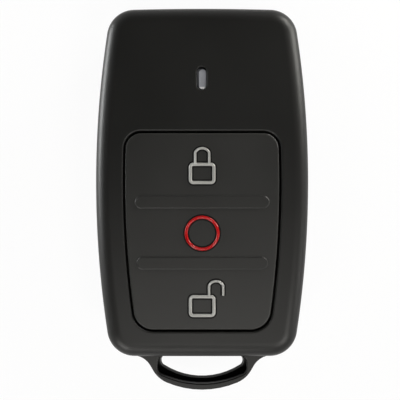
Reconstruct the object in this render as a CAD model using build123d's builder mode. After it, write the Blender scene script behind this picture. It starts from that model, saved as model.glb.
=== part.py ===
from build123d import *

import os
from math import radians, sqrt, tan

# Alarm key fob, in millimetres. It lies on its back: +Z points out of the front face,
# +Y runs to the lamp end and the key-ring loop lies at the -Y end.
# The origin is the middle of the whole outline, on the plane of the rear face.

# Case
case_length = 61.7
case_width = 37.8
case_height = 13.0
side_bow = 2.66
end_bow = 0.3
case_corner_radius = 4.7
parting_height = 5.0
side_wall = 1.6
front_wall = 1.6
rear_wall = 1.6
bevel_width = 2.4
bevel_drop = 1.1
bevel_crest_radius = 3.0
bevel_brow_radius = 1.2
rear_edge_radius = 2.2

# Rim where the shells meet
lip_width = 0.75
lip_height = 1.0
lip_gap = 0.05

# Key-ring loop
loop_reach = 6.9
loop_outer_radius = 16.5
loop_root_width = 22.5
loop_side_angle = 56.5
loop_shoulder_radius = 3.0
loop_root_radius = 1.3
loop_land = 0.96
loop_front_height = 8.5
loop_rear_height = 4.0
slot_width = 16.16
slot_corner_radius = 0.7
slot_step = 0.45
slot_chamfer = 0.3

# Keypad
pad_from_bottom = 5.0
pad_side_inset = 5.4
pad_top_corner_radius = 2.75
pad_bottom_corner_radius = 3.5
pad_gap = 0.35
pad_drop = 0.1
pad_edge_radius = 0.25
pad_lip_radius = 0.25
key_thickness = 2.0
key_travel = 0.3
key_slit = 0.15
key_nub_radius = 1.5
key_nub_gap = 0.1
skirt_width = 1.2
ledge_width = 1.0
ledge_height = 0.5
ledge_clearance = 0.3
bar_from_pad_top = 12.07
bar_pitch = 10.65
bar_from_pad_bottom = 11.68
bar_width = 2.06
bar_rise = 0.25
bar_edge_radius = 0.15
upper_bar_length = 23.4
lower_bar_length = 22.85
beam_width = 2.6
foot_radius = 1.0
foot_spacing = 16.0

# Symbols on the keys
symbol_rise = 0.18
symbol_inlay = 0.4
symbol_gap = 0.03
padlock_width = 4.8
padlock_height = 3.85
padlock_line = 0.63
padlock_corner_radius = 0.58
shackle_width = 2.92
shackle_height = 2.75
shackle_line = 0.51
open_shackle_shift = 2.43
lock_from_pad_top = 7.08
ring_from_bar = 5.44
unlock_from_bar = 7.57
ring_diameter = 6.23
ring_line = 0.63

# Lamp, at a share of the way from the case's end to the pad
lamp_share = 0.5695
lamp_window_width = 1.8
lamp_window_length = 4.05
lamp_gap = 0.25
lamp_drop = 0.5
lamp_lip_radius = 0.15
pipe_flange_width = 2.8
pipe_flange_height = 0.6
pipe_led_gap = 0.15
collar_gap = 0.1
collar_wall = 0.8
collar_height = 1.8
led_width = 1.25
led_length = 2.0
led_height = 0.8
led_lens_height = 0.3

# Circuit board
board_thickness = 1.0
board_gap = 0.6
board_notch_gap = 0.3
post_radius = 1.5
post_side_inset = 3.6
upper_post_share = 0.15
post_lower_from_end = 9.0
pin_radius = 0.6
pin_gap = 0.1
pin_height = 0.7
peg_radius = 1.2

# Tactile switches
switch_width = 5.2
switch_base_height = 1.1
switch_floor = 0.4
switch_well_radius = 1.9
switch_edge_chamfer = 0.2
dome_radius = 1.75
dome_rise = 0.4
dome_sheet = 0.1
plunger_dome_gap = 0.05
plunger_flange_radius = 1.5
plunger_flange_height = 0.2
plunger_radius = 1.1
plunger_length = 1.05
plunger_edge_radius = 0.1
plunger_gap = 0.08
cover_sheet = 0.15
cover_skirt = 0.8
terminal_width = 0.7
terminal_sheet = 0.15
terminal_foot = 0.8
terminal_riser = 0.5
terminal_pitch = 3.2

# Coin cell and its contacts
cell_radius = 10.0
cell_height = 3.2
cell_edge_radius = 0.4
cell_cap_radius = 8.8
cell_cap_height = 0.3
cell_from_board = 0.55
cell_room_share = 1 / 3
cell_from_loop_end = 21.5
holder_gap = 0.2
holder_wall = 1.2
holder_base = 0.5
holder_depth = 3.0
holder_mouth = 12.0
holder_window = 8.0
clip_sheet = 0.3
clip_width = 5.0
clip_leg_width = 1.0
clip_gap = 0.3
clip_leg_reach = 0.5
clip_hole_gap = 0.15
contact_sheet = 0.2
contact_width = 4.0
contact_foot = 2.0
contact_span = 6.0

# Parts on the board, with the shares of the free length that lie before and between them
chip_side_offset = 7.5
chip_room_share = 0.2
crystal_room_share = 0.25
controller_side = 5.0
controller_height = 0.9
chip_mark_radius = 0.35
chip_mark_depth = 0.1
radio_side = 4.0
radio_height = 0.85
crystal_width = 3.2
crystal_length = 2.5
crystal_base_height = 0.5
crystal_lid_height = 0.3
crystal_lid_inset = 0.25
passive_length = 1.6
passive_width = 0.8
passive_height = 0.5
passive_chamfer = 0.08
passive_pitch_x = 2.4
passive_pitch_y = 1.6
antenna_span = 18.0
antenna_drop = 3.0
antenna_sheet = 0.4
antenna_width = 1.0
antenna_from_end = 8.0

# Screws and hooks
screw_inset = 4.5
screw_radius = 1.0
screw_length = 7.0
screw_tip = 0.6
screw_head_radius = 1.75
screw_head_height = 1.3
screw_recess = 0.5
screw_head_gap = 0.15
screw_pilot_gap = 0.05
screw_hole_gap = 0.15
screw_pilot_spare = 0.5
screw_cross_length = 2.0
screw_cross_width = 0.45
screw_cross_depth = 0.6
boss_radius = 2.2
hook_spacing = 14.0
hook_width = 3.0
hook_thickness = 1.1
hook_gap = 0.1
hook_nose = 0.7
hook_nose_height = 0.8
hook_from_front_wall = 1.4

# How far a cut runs past the surface it opens, and how near two heights count as one
overrun = 1.0
near = 0.01

# Places worked out from the sizes above
case_centre_y = loop_reach / 2
case_top_y = case_centre_y + case_length / 2
case_bottom_y = case_centre_y - case_length / 2
loop_bottom_y = case_bottom_y - loop_reach
loop_centre_y = loop_bottom_y + loop_outer_radius
front_inner = case_height - front_wall
side_radius = ((case_length / 2 - end_bow) ** 2 + side_bow**2) / (2 * side_bow)

pad_bottom_y = case_bottom_y + pad_from_bottom
lower_bar_y = pad_bottom_y + bar_from_pad_bottom
upper_bar_y = lower_bar_y + bar_pitch
pad_top_y = upper_bar_y + bar_from_pad_top
head_length = case_top_y - pad_top_y
pad_top = case_height - pad_drop
key_bottom = pad_top - key_thickness
ledge_top = key_bottom - key_travel - ledge_clearance
ledge_bottom = ledge_top - ledge_height

lamp_y = case_top_y - head_length * lamp_share
lip_inset = side_wall - lip_width

# The stack from the rear wall to the front face; what height is free lies under the cell's clip
# and in the keys' nubs
cell_stack = clip_sheet + cell_height + cell_from_board
switch_height = switch_floor + dome_rise + plunger_dome_gap + plunger_length
key_stack = board_thickness + switch_height + key_nub_gap + key_thickness + pad_drop
free_height = case_height - rear_wall - cell_stack - key_stack
board_height = rear_wall + free_height * cell_room_share + cell_stack
board_top = board_height + board_thickness

dome_base = board_top + switch_floor
plunger_base = dome_base + dome_rise + plunger_dome_gap
plunger_top = plunger_base + plunger_length

cell_y = case_bottom_y + cell_from_loop_end
cell_top = board_height - cell_from_board
cell_bottom = cell_top - cell_height
holder_radius = cell_radius + holder_gap + holder_wall
clip_half_span = holder_radius + clip_gap + clip_sheet / 2

hook_front_y = case_bottom_y + side_wall + end_bow
hook_top = front_inner - hook_from_front_wall


def side_x(y, inset):
    """Half width of the case at y, measured to a line inset from its side wall."""
    centre_x = case_width / 2 - side_radius
    return centre_x + sqrt((side_radius - inset) ** 2 - (y - case_centre_y) ** 2)


# The three keys: name, lower and upper edge along Y
key_spans = {
    "lock": (upper_bar_y + beam_width / 2 + key_slit, pad_top_y),
    "panic": (lower_bar_y + beam_width / 2 + key_slit, upper_bar_y - beam_width / 2 - key_slit),
    "unlock": (pad_bottom_y, lower_bar_y - beam_width / 2 - key_slit),
}

screw_y = case_top_y - end_bow - screw_inset
screw_x = side_x(screw_y, screw_inset)
screw_places = [(-screw_x, screw_y), (screw_x, screw_y)]

skirt_top_y = pad_top_y + pad_gap + skirt_width
upper_post_low = skirt_top_y + peg_radius
upper_post_high = screw_y - boss_radius - board_notch_gap
upper_post_y = upper_post_low + (upper_post_high - upper_post_low) * upper_post_share
lower_post_y = case_bottom_y + post_lower_from_end
upper_post_x = side_x(upper_post_y, side_wall + post_side_inset)
lower_post_x = side_x(lower_post_y, side_wall + post_side_inset)
upper_post_places = [(-upper_post_x, upper_post_y), (upper_post_x, upper_post_y)]
lower_post_places = [(-lower_post_x, lower_post_y), (lower_post_x, lower_post_y)]
post_places = upper_post_places + lower_post_places
hook_places = [(-hook_spacing / 2, hook_front_y), (hook_spacing / 2, hook_front_y)]

# The chips lie between the pad's skirt and the end wall, the crystal and passives past them
free_length = case_top_y - side_wall - skirt_top_y - controller_side - crystal_length
chip_y = skirt_top_y + free_length * chip_room_share + controller_side / 2
crystal_low = chip_y + controller_side / 2 + free_length * crystal_room_share
crystal_y = crystal_low + crystal_length / 2
passive_x = screw_x - boss_radius - board_notch_gap - passive_pitch_x - passive_length / 2


def case_outline(inset=0):
    """The case seen from the front: four bowed edges with rounded corners."""
    corner_x = case_width / 2 - side_bow
    top = case_top_y - end_bow
    bottom = case_bottom_y + end_bow
    with BuildSketch() as outline:
        with BuildLine():
            ThreePointArc((corner_x, bottom), (case_width / 2, case_centre_y), (corner_x, top))
            ThreePointArc((corner_x, top), (0, case_top_y), (-corner_x, top))
            ThreePointArc((-corner_x, top), (-case_width / 2, case_centre_y), (-corner_x, bottom))
            ThreePointArc((-corner_x, bottom), (0, case_bottom_y), (corner_x, bottom))
        make_face()
        fillet(outline.vertices(), case_corner_radius)
        if inset > 0:
            offset(amount=-inset)
    return outline.sketch


def slot_outline(inset=0):
    """The slot for a key ring: its far edge is concentric with the loop's outer edge."""
    with BuildSketch() as slot:
        with Locations((0, case_bottom_y)):
            Rectangle(slot_width - 2 * inset, 2 * (loop_reach + side_wall))
        with Locations((0, loop_centre_y)):
            Circle(loop_outer_radius - loop_land - inset, mode=Mode.INTERSECT)
        fillet(slot.vertices().group_by(Axis.Y)[0], slot_corner_radius)
    return slot.sketch


def loop_band(inset=0):
    """The key-ring loop with its slot cut out, joined to the case outline behind it."""
    root_x = loop_root_width / 2
    flare = side_wall / tan(radians(loop_side_angle))
    taper = loop_reach / tan(radians(loop_side_angle))
    slot_half = slot_width / 2 - inset
    with BuildSketch() as band:
        with BuildLine():
            Polyline(
                (root_x + flare, case_bottom_y + side_wall),
                (-root_x - flare, case_bottom_y + side_wall),
                (-root_x + taper, loop_bottom_y),
                (root_x - taper, loop_bottom_y),
                close=True,
            )
        make_face()
        with Locations((0, loop_centre_y)):
            Circle(loop_outer_radius, mode=Mode.INTERSECT)
        shoulders = band.vertices().group_by(Axis.Y)[0]
        fillet(shoulders, loop_shoulder_radius)
        add(slot_outline(inset), mode=Mode.SUBTRACT)
        add(case_outline())
        root_left = band.vertices().sort_by_distance((-root_x, case_bottom_y))[0]
        root_right = band.vertices().sort_by_distance((root_x, case_bottom_y))[0]
        fillet([root_left, root_right], loop_root_radius)
        slot_left = band.vertices().sort_by_distance((-slot_half, case_bottom_y))[0]
        slot_right = band.vertices().sort_by_distance((slot_half, case_bottom_y))[0]
        fillet([slot_left, slot_right], slot_corner_radius)
    return band.sketch


def pad_outline(growth=0):
    """The keypad seen from the front: its sides run alongside the case's sides."""
    middle_y = (pad_top_y + pad_bottom_y) / 2
    top_x = side_x(pad_top_y, pad_side_inset)
    middle_x = side_x(middle_y, pad_side_inset)
    bottom_x = side_x(pad_bottom_y, pad_side_inset)
    with BuildSketch() as outline:
        with BuildLine():
            ThreePointArc((bottom_x, pad_bottom_y), (middle_x, middle_y), (top_x, pad_top_y))
            Line((top_x, pad_top_y), (-top_x, pad_top_y))
            ThreePointArc((-top_x, pad_top_y), (-middle_x, middle_y), (-bottom_x, pad_bottom_y))
            Line((-bottom_x, pad_bottom_y), (bottom_x, pad_bottom_y))
        make_face()
        fillet(outline.vertices().group_by(Axis.Y)[-1], pad_top_corner_radius)
        fillet(outline.vertices().group_by(Axis.Y)[0], pad_bottom_corner_radius)
        if growth != 0:
            offset(amount=growth)
    return outline.sketch


def padlock(shackle_shift=0, growth=0):
    """Padlock drawn in raised lines; a shifted shackle makes it stand open."""
    body_top = padlock_height / 2
    arch = (shackle_width - shackle_line) / 2
    spring_y = body_top + shackle_height - shackle_width / 2
    foot_y = body_top - padlock_line / 3
    left = shackle_shift - arch
    right = shackle_shift + arch
    inner_corner = padlock_corner_radius / 3
    with BuildSketch() as symbol:
        RectangleRounded(padlock_width, padlock_height, padlock_corner_radius)
        RectangleRounded(
            padlock_width - 2 * padlock_line,
            padlock_height - 2 * padlock_line,
            inner_corner,
            mode=Mode.SUBTRACT,
        )
        with BuildLine():
            Line((left, foot_y), (left, spring_y))
            ThreePointArc((left, spring_y), (shackle_shift, spring_y + arch), (right, spring_y))
            Line((right, spring_y), (right, foot_y))
        trace(line_width=shackle_line)
        if growth > 0:
            offset(amount=growth)
    return symbol.sketch


def ring(growth=0):
    """Plain ring that marks the middle key."""
    with BuildSketch() as symbol:
        Circle(ring_diameter / 2 + growth)
        Circle(ring_diameter / 2 - ring_line - growth, mode=Mode.SUBTRACT)
    return symbol.sketch


def key_symbol(name, growth=0):
    """Symbol of one key, in its place on the pad."""
    places = {
        "lock": pad_top_y - lock_from_pad_top,
        "panic": upper_bar_y - ring_from_bar,
        "unlock": lower_bar_y - unlock_from_bar,
    }
    with BuildSketch() as symbol:
        with Locations((0, places[name])):
            if name == "lock":
                add(padlock(0, growth))
            elif name == "panic":
                add(ring(growth))
            else:
                add(padlock(open_shackle_shift, growth))
    return symbol.sketch


def lamp_slot(width, length):
    """Upright slot shape, centred on the lamp."""
    with BuildSketch() as slot:
        with Locations((0, lamp_y)):
            SlotOverall(length, width, rotation=90)
    return slot.sketch


os.makedirs("parts", exist_ok=True)

# Front shell: bevelled cover with the pad opening, the lamp window and the front of the loop
with BuildPart() as front_shell:
    with BuildSketch(Plane.XY.offset(parting_height)):
        add(case_outline())
    extrude(amount=case_height - parting_height)
    face_rim = front_shell.faces().sort_by(Axis.Z)[-1]
    chamfer(face_rim.edges(), bevel_width, bevel_drop, reference=face_rim)
    brow_height = case_height - bevel_drop
    brow = front_shell.edges().filter_by(lambda e: abs(e.center().Z - brow_height) < near)
    fillet(brow, bevel_brow_radius)
    fillet(front_shell.faces().sort_by(Axis.Z)[-1].edges(), bevel_crest_radius)
    with BuildSketch(Plane.XY.offset(parting_height)):
        add(loop_band())
    extrude(amount=loop_front_height - parting_height)
    with BuildSketch(Plane.XY.offset(loop_front_height)):
        add(slot_outline(-slot_chamfer))
        add(case_outline(), mode=Mode.SUBTRACT)
    extrude(amount=-slot_chamfer, taper=45, mode=Mode.SUBTRACT)
    with BuildSketch(Plane.XY.offset(parting_height)):
        add(case_outline(side_wall))
    extrude(amount=front_inner - parting_height, mode=Mode.SUBTRACT)
    with BuildSketch(Plane.XY.offset(parting_height)):
        add(case_outline(lip_inset - lip_gap))
    extrude(amount=lip_height + lip_gap, mode=Mode.SUBTRACT)
    with BuildSketch(Plane.XY.offset(front_inner - overrun)):
        add(pad_outline(pad_gap))
    extrude(amount=front_wall + 2 * overrun, mode=Mode.SUBTRACT)
    fillet(front_shell.faces().sort_by(Axis.Z)[-1].inner_wires().edges(), pad_lip_radius)
    with BuildSketch(Plane.XY.offset(front_inner)):
        add(lamp_slot(pipe_flange_width + 2 * (collar_gap + collar_wall),
                      lamp_window_length + pipe_flange_width - lamp_window_width
                      + 2 * (collar_gap + collar_wall)))
        add(lamp_slot(pipe_flange_width + 2 * collar_gap,
                      lamp_window_length + pipe_flange_width - lamp_window_width
                      + 2 * collar_gap), mode=Mode.SUBTRACT)
    extrude(amount=-collar_height)
    with BuildSketch(Plane.XY.offset(front_inner - overrun)):
        add(lamp_slot(lamp_window_width, lamp_window_length))
    extrude(amount=front_wall + 2 * overrun, mode=Mode.SUBTRACT)
    lamp_lip = front_shell.faces().sort_by(Axis.Z)[-1].inner_wires().sort_by(Axis.Y)[-1]
    fillet(lamp_lip.edges(), lamp_lip_radius)
    with BuildSketch(Plane.XY.offset(parting_height)):
        with Locations(*screw_places):
            Circle(boss_radius)
    extrude(amount=front_inner - parting_height)
    with BuildSketch(Plane.XY.offset(parting_height)):
        with Locations(*screw_places):
            Circle(screw_radius + screw_pilot_gap)
    pilot_depth = screw_recess + screw_head_height + screw_length + screw_pilot_spare - parting_height
    extrude(amount=pilot_depth, mode=Mode.SUBTRACT)
    with BuildSketch(Plane.XY.offset(board_top)):
        with Locations(*upper_post_places):
            Circle(peg_radius)
    extrude(amount=front_inner - board_top)
    with BuildSketch(Plane.XY.offset(board_top)):
        with Locations(*upper_post_places):
            Circle(pin_radius + pin_gap)
    extrude(amount=pin_height, mode=Mode.SUBTRACT)
    with BuildSketch(Plane.XY.offset(hook_top - hook_nose_height - hook_gap)):
        with Locations(*hook_places):
            Rectangle(hook_width + 2 * hook_gap, 2 * (hook_nose + hook_gap + end_bow))
    extrude(amount=hook_nose_height + 2 * hook_gap, mode=Mode.SUBTRACT)

front_shell.part.label = "front_shell"
export_step(front_shell.part, "parts/front_shell.step")

# Rear shell: tray with the rim lip, the rear of the loop, board posts, screw bosses and hooks
with BuildPart() as rear_shell:
    with BuildSketch():
        add(case_outline())
    extrude(amount=parting_height)
    fillet(rear_shell.faces().sort_by(Axis.Z)[0].edges(), rear_edge_radius)
    with BuildSketch(Plane.XY.offset(loop_rear_height)):
        add(loop_band(slot_step))
    extrude(amount=parting_height - loop_rear_height)
    with BuildSketch(Plane.XY.offset(rear_wall)):
        add(case_outline(side_wall))
    extrude(amount=parting_height - rear_wall, mode=Mode.SUBTRACT)
    with BuildSketch(Plane.XY.offset(parting_height)):
        add(case_outline(lip_inset))
        add(case_outline(side_wall), mode=Mode.SUBTRACT)
    extrude(amount=lip_height)
    with BuildSketch(Plane.XY.offset(rear_wall)):
        with Locations(*post_places):
            Circle(post_radius)
    extrude(amount=board_height - rear_wall)
    with BuildSketch(Plane.XY.offset(board_height)):
        with Locations(*upper_post_places):
            Circle(pin_radius)
    extrude(amount=board_thickness + pin_height - pin_gap)
    with BuildSketch(Plane.XY.offset(rear_wall)):
        with Locations(*screw_places):
            Circle(boss_radius)
    extrude(amount=parting_height - rear_wall)
    with BuildSketch():
        with Locations(*screw_places):
            Circle(screw_head_radius + screw_head_gap)
    extrude(amount=screw_recess + screw_head_height, mode=Mode.SUBTRACT)
    with BuildSketch():
        with Locations(*screw_places):
            Circle(screw_radius + screw_hole_gap)
    extrude(amount=parting_height, mode=Mode.SUBTRACT)
    with BuildSketch(Plane.XY.offset(rear_wall)):
        with Locations(*hook_places):
            Rectangle(hook_width, hook_thickness, align=(Align.CENTER, Align.MIN))
    extrude(amount=hook_top - rear_wall)
    with BuildSketch(Plane.XY.offset(hook_top - hook_nose_height)):
        with Locations(*hook_places):
            Rectangle(hook_width, hook_nose, align=(Align.CENTER, Align.MAX))
    extrude(amount=hook_nose_height)

rear_shell.part.label = "rear_shell"
export_step(rear_shell.part, "parts/rear_shell.step")

# Whole pad with softened edges, which the keys and the bars are cut from
with BuildPart() as pad:
    with BuildSketch(Plane.XY.offset(key_bottom)):
        add(pad_outline())
    extrude(amount=key_thickness)
    fillet(pad.faces().sort_by(Axis.Z)[-1].edges(), pad_edge_radius)

# Fixed part of the keypad: skirt on the board, thin ledge, and the two bars with their feet
with BuildPart() as keypad_web:
    with BuildSketch(Plane.XY.offset(board_top)):
        add(pad_outline(pad_gap + skirt_width))
        add(pad_outline(pad_gap), mode=Mode.SUBTRACT)
    extrude(amount=front_inner - board_top)
    with BuildSketch(Plane.XY.offset(ledge_bottom)):
        add(pad_outline(pad_gap + skirt_width / 2))
        add(pad_outline(-ledge_width), mode=Mode.SUBTRACT)
    extrude(amount=ledge_height)
    with BuildSketch(Plane.XY.offset(ledge_bottom)):
        with Locations((0, upper_bar_y), (0, lower_bar_y)):
            Rectangle(case_width, beam_width)
        add(pad_outline(pad_gap + skirt_width / 2), mode=Mode.INTERSECT)
    extrude(amount=key_bottom - ledge_bottom)
    with BuildSketch(Plane.XY.offset(board_top)):
        with Locations((0, upper_bar_y), (0, lower_bar_y)):
            with GridLocations(foot_spacing, foot_spacing, 2, 1):
                Circle(foot_radius)
    extrude(amount=ledge_bottom - board_top)
    for bar_y, bar_length in ((upper_bar_y, upper_bar_length), (lower_bar_y, lower_bar_length)):
        with BuildSketch(Plane.XY.offset(key_bottom)):
            with Locations((0, bar_y)):
                Rectangle(case_width, beam_width)
        beam = extrude(amount=key_thickness + bar_rise, mode=Mode.PRIVATE)
        add(pad.part & beam)
        with BuildSketch(Plane.XY.offset(pad_top)):
            with Locations((0, bar_y)):
                SlotOverall(bar_length, bar_width)
        extrude(amount=bar_rise)
    fillet(keypad_web.faces().sort_by(Axis.Z)[-2:].edges(), bar_edge_radius)

keypad_web.part.label = "keypad_web"
export_step(keypad_web.part, "parts/keypad_web.step")

# The three keys, each with the nub that presses its switch and a pocket for its symbol
for name, (low_y, high_y) in key_spans.items():
    with BuildPart() as key:
        add(pad.part)
        with BuildSketch(Plane.XY.offset(key_bottom)):
            with Locations((0, (low_y + high_y) / 2)):
                Rectangle(case_width, high_y - low_y)
        extrude(amount=key_thickness, mode=Mode.INTERSECT)
        with BuildSketch(Plane.XY.offset(key_bottom)):
            with Locations((0, (low_y + high_y) / 2)):
                Circle(key_nub_radius)
        extrude(amount=plunger_top + key_nub_gap - key_bottom)
        with BuildSketch(Plane.XY.offset(pad_top)):
            add(key_symbol(name, symbol_gap))
        extrude(amount=-symbol_inlay, mode=Mode.SUBTRACT)
    key.part.label = name + "_key"
    export_step(key.part, "parts/" + name + "_key.step")

    with BuildPart() as symbol:
        with BuildSketch(Plane.XY.offset(pad_top - symbol_inlay)):
            add(key_symbol(name))
        extrude(amount=symbol_inlay + symbol_rise)
    symbol_name = {"lock": "lock_symbol", "panic": "panic_ring", "unlock": "unlock_symbol"}[name]
    symbol.part.label = symbol_name
    export_step(symbol.part, "parts/" + symbol_name + ".step")

# Clear rod that carries the lamp's light to the window, held by its flange
with BuildPart() as light_pipe:
    pipe_width = lamp_window_width - 2 * lamp_gap
    pipe_length = lamp_window_length - 2 * lamp_gap
    pipe_foot = board_top + led_height + led_lens_height + pipe_led_gap
    with BuildSketch(Plane.XY.offset(pipe_foot)):
        add(lamp_slot(pipe_width, pipe_length))
    extrude(amount=case_height - lamp_drop - pipe_foot)
    fillet(light_pipe.faces().sort_by(Axis.Z)[-1].edges(), pad_edge_radius)
    with BuildSketch(Plane.XY.offset(front_inner - pipe_flange_height)):
        add(lamp_slot(pipe_flange_width, lamp_window_length + pipe_flange_width - lamp_window_width))
    extrude(amount=pipe_flange_height)

light_pipe.part.label = "light_pipe"
export_step(light_pipe.part, "parts/light_pipe.step")

# Lamp on the board: a square package with a shallow domed lens
with BuildPart() as status_led:
    with BuildSketch(Plane.XY.offset(board_top)):
        with Locations((0, lamp_y)):
            Rectangle(led_width, led_length)
    extrude(amount=led_height)
    chamfer(status_led.edges().filter_by(Axis.Z), led_width / 10)
    with BuildSketch(Plane.XY.offset(board_top + led_height)):
        with Locations((0, lamp_y)):
            Circle(led_width / 2 - led_width / 10)
    extrude(amount=led_lens_height, taper=30)

status_led.part.label = "status_led"
export_step(status_led.part, "parts/status_led.step")

# Circuit board, notched round the screw bosses and the hooks
with BuildPart() as circuit_board:
    notch_reach = boss_radius + board_notch_gap
    with BuildSketch(Plane.XY.offset(board_height)):
        add(case_outline(side_wall + board_gap))
        for side in (-1, 1):
            edge = Align.MIN if side > 0 else Align.MAX
            with Locations((side * (screw_x - notch_reach), screw_y - notch_reach)):
                Rectangle(case_width, case_length, align=(edge, Align.MIN), mode=Mode.SUBTRACT)
        with Locations((0, hook_front_y + hook_thickness + board_notch_gap)):
            Rectangle(case_width, case_length, align=(Align.CENTER, Align.MAX), mode=Mode.SUBTRACT)
        with Locations(*upper_post_places):
            Circle(pin_radius + pin_gap, mode=Mode.SUBTRACT)
        with Locations((-clip_half_span, cell_y), (clip_half_span, cell_y)):
            Rectangle(clip_sheet + 2 * clip_hole_gap, clip_leg_width + 2 * clip_hole_gap,
                      mode=Mode.SUBTRACT)
    extrude(amount=board_thickness)

circuit_board.part.label = "circuit_board"
export_step(circuit_board.part, "parts/circuit_board.step")


def make_switch(name, y):
    """One tactile switch: moulded base, terminals, snap dome, plunger and sheet cover."""
    base_side = switch_width - 2 * cover_sheet
    base_top = board_top + switch_base_height
    with BuildPart() as base:
        with BuildSketch(Plane.XY.offset(board_top)):
            with Locations((0, y)):
                Rectangle(base_side, base_side)
        extrude(amount=switch_base_height)
        chamfer(base.edges().filter_by(Axis.Z), switch_edge_chamfer)
        with BuildSketch(Plane.XY.offset(dome_base)):
            with Locations((0, y)):
                Circle(switch_well_radius)
        extrude(amount=switch_base_height, mode=Mode.SUBTRACT)
    base.part.label = name + "_switch_base"
    export_step(base.part, "parts/" + name + "_switch_base.step")

    with BuildPart() as terminals:
        for side in (-1, 1):
            root_y = y + side * base_side / 2
            with BuildSketch(Plane.XY.offset(board_top)):
                with Locations((0, root_y + side * terminal_foot / 2)):
                    with GridLocations(terminal_pitch, terminal_pitch, 2, 1):
                        Rectangle(terminal_width, terminal_foot)
            extrude(amount=terminal_sheet)
            with BuildSketch(Plane.XY.offset(board_top)):
                with Locations((0, root_y + side * terminal_sheet / 2)):
                    with GridLocations(terminal_pitch, terminal_pitch, 2, 1):
                        Rectangle(terminal_width, terminal_sheet)
            extrude(amount=terminal_riser)
    terminals.part.label = name + "_switch_terminals"
    export_step(terminals.part, "parts/" + name + "_switch_terminals.step")

    dome_ball = (dome_radius**2 + dome_rise**2) / (2 * dome_rise)
    dome_inner = dome_ball - dome_sheet
    inner_radius = sqrt(dome_inner**2 - (dome_ball - dome_rise) ** 2)
    with BuildPart() as dome:
        with BuildSketch(Plane.XZ.offset(-y)):
            with BuildLine():
                rim = Line((inner_radius, dome_base), (dome_radius, dome_base))
                outer = RadiusArc(rim @ 1, (0, dome_base + dome_rise), -dome_ball)
                crown = Line(outer @ 1, (0, dome_base + dome_rise - dome_sheet))
                RadiusArc(crown @ 1, rim @ 0, dome_inner)
            make_face()
        revolve(axis=Axis((0, y, 0), (0, 0, 1)))
    dome.part.label = name + "_switch_dome"
    export_step(dome.part, "parts/" + name + "_switch_dome.step")

    with BuildPart() as plunger:
        with BuildSketch(Plane.XY.offset(plunger_base)):
            with Locations((0, y)):
                Circle(plunger_flange_radius)
        extrude(amount=plunger_flange_height)
        with BuildSketch(Plane.XY.offset(plunger_base)):
            with Locations((0, y)):
                Circle(plunger_radius)
        extrude(amount=plunger_length)
        fillet(plunger.faces().sort_by(Axis.Z)[-1].edges(), plunger_edge_radius)
    plunger.part.label = name + "_switch_plunger"
    export_step(plunger.part, "parts/" + name + "_switch_plunger.step")

    with BuildPart() as cover:
        with BuildSketch(Plane.XY.offset(base_top)):
            with Locations((0, y)):
                Rectangle(switch_width, base_side)
                Circle(plunger_radius + plunger_gap, mode=Mode.SUBTRACT)
        extrude(amount=cover_sheet)
        with BuildSketch(Plane.XY.offset(base_top)):
            with Locations((0, y)):
                with GridLocations(switch_width - cover_sheet, switch_width, 2, 1):
                    Rectangle(cover_sheet, base_side - 2 * switch_edge_chamfer)
        extrude(amount=-cover_skirt)
    cover.part.label = name + "_switch_cover"
    export_step(cover.part, "parts/" + name + "_switch_cover.step")


for name, (low_y, high_y) in key_spans.items():
    make_switch(name, (low_y + high_y) / 2)

# Coin cell: the positive can faces the rear, the smaller negative cap faces the board
with BuildPart() as coin_battery:
    with BuildSketch(Plane.XY.offset(cell_bottom)):
        with Locations((0, cell_y)):
            Circle(cell_radius)
    extrude(amount=cell_height - cell_cap_height)
    fillet(coin_battery.edges().filter_by(GeomType.CIRCLE), cell_edge_radius)
    with BuildSketch(Plane.XY.offset(cell_top - cell_cap_height)):
        with Locations((0, cell_y)):
            Circle(cell_cap_radius)
    extrude(amount=cell_cap_height)

coin_battery.part.label = "coin_battery"
export_step(coin_battery.part, "parts/coin_battery.step")

# Battery holder: ring under the board with a mouth for the cell and a contact window
with BuildPart() as battery_holder:
    with BuildSketch(Plane.XY.offset(board_height - holder_depth)):
        with Locations((0, cell_y)):
            Circle(holder_radius)
            Circle(cell_radius + holder_gap, mode=Mode.SUBTRACT)
        with Locations((0, cell_y)):
            Rectangle(holder_mouth, case_length, align=(Align.CENTER, Align.MIN),
                      mode=Mode.SUBTRACT)
    extrude(amount=holder_depth)
    with BuildSketch(Plane.XY.offset(board_height - holder_base)):
        with Locations((0, cell_y)):
            Circle(holder_radius)
            Rectangle(holder_window, holder_window, mode=Mode.SUBTRACT)
    extrude(amount=holder_base)

battery_holder.part.label = "battery_holder"
export_step(battery_holder.part, "parts/battery_holder.step")

# Positive clip: sprung strap across the cell, with two legs soldered through the board
with BuildPart() as battery_clip:
    with BuildSketch(Plane.XZ.offset(-cell_y)):
        with BuildLine():
            Polyline(
                (-clip_half_span, board_height),
                (-clip_half_span, cell_bottom - clip_sheet / 2),
                (clip_half_span, cell_bottom - clip_sheet / 2),
                (clip_half_span, board_height),
            )
        trace(line_width=clip_sheet)
    extrude(amount=clip_width / 2, both=True)
    with BuildSketch(Plane.XY.offset(board_height)):
        with Locations((-clip_half_span, cell_y), (clip_half_span, cell_y)):
            Rectangle(clip_sheet, clip_leg_width)
    extrude(amount=board_thickness + clip_leg_reach)

battery_clip.part.label = "battery_clip"
export_step(battery_clip.part, "parts/battery_clip.step")

# Negative contact: a leaf that springs from the board to the cell's cap
with BuildPart() as negative_contact:
    foot_z = board_height - contact_sheet / 2
    touch_z = cell_top + contact_sheet / 2
    with BuildSketch(Plane.YZ):
        with BuildLine():
            Polyline(
                (cell_y - contact_span / 2, foot_z),
                (cell_y - contact_span / 2 + contact_foot, foot_z),
                (cell_y + contact_span / 2 - contact_foot, touch_z),
                (cell_y + contact_span / 2, touch_z),
            )
        trace(line_width=contact_sheet)
    extrude(amount=contact_width / 2, both=True)

negative_contact.part.label = "negative_contact"
export_step(negative_contact.part, "parts/negative_contact.step")

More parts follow.
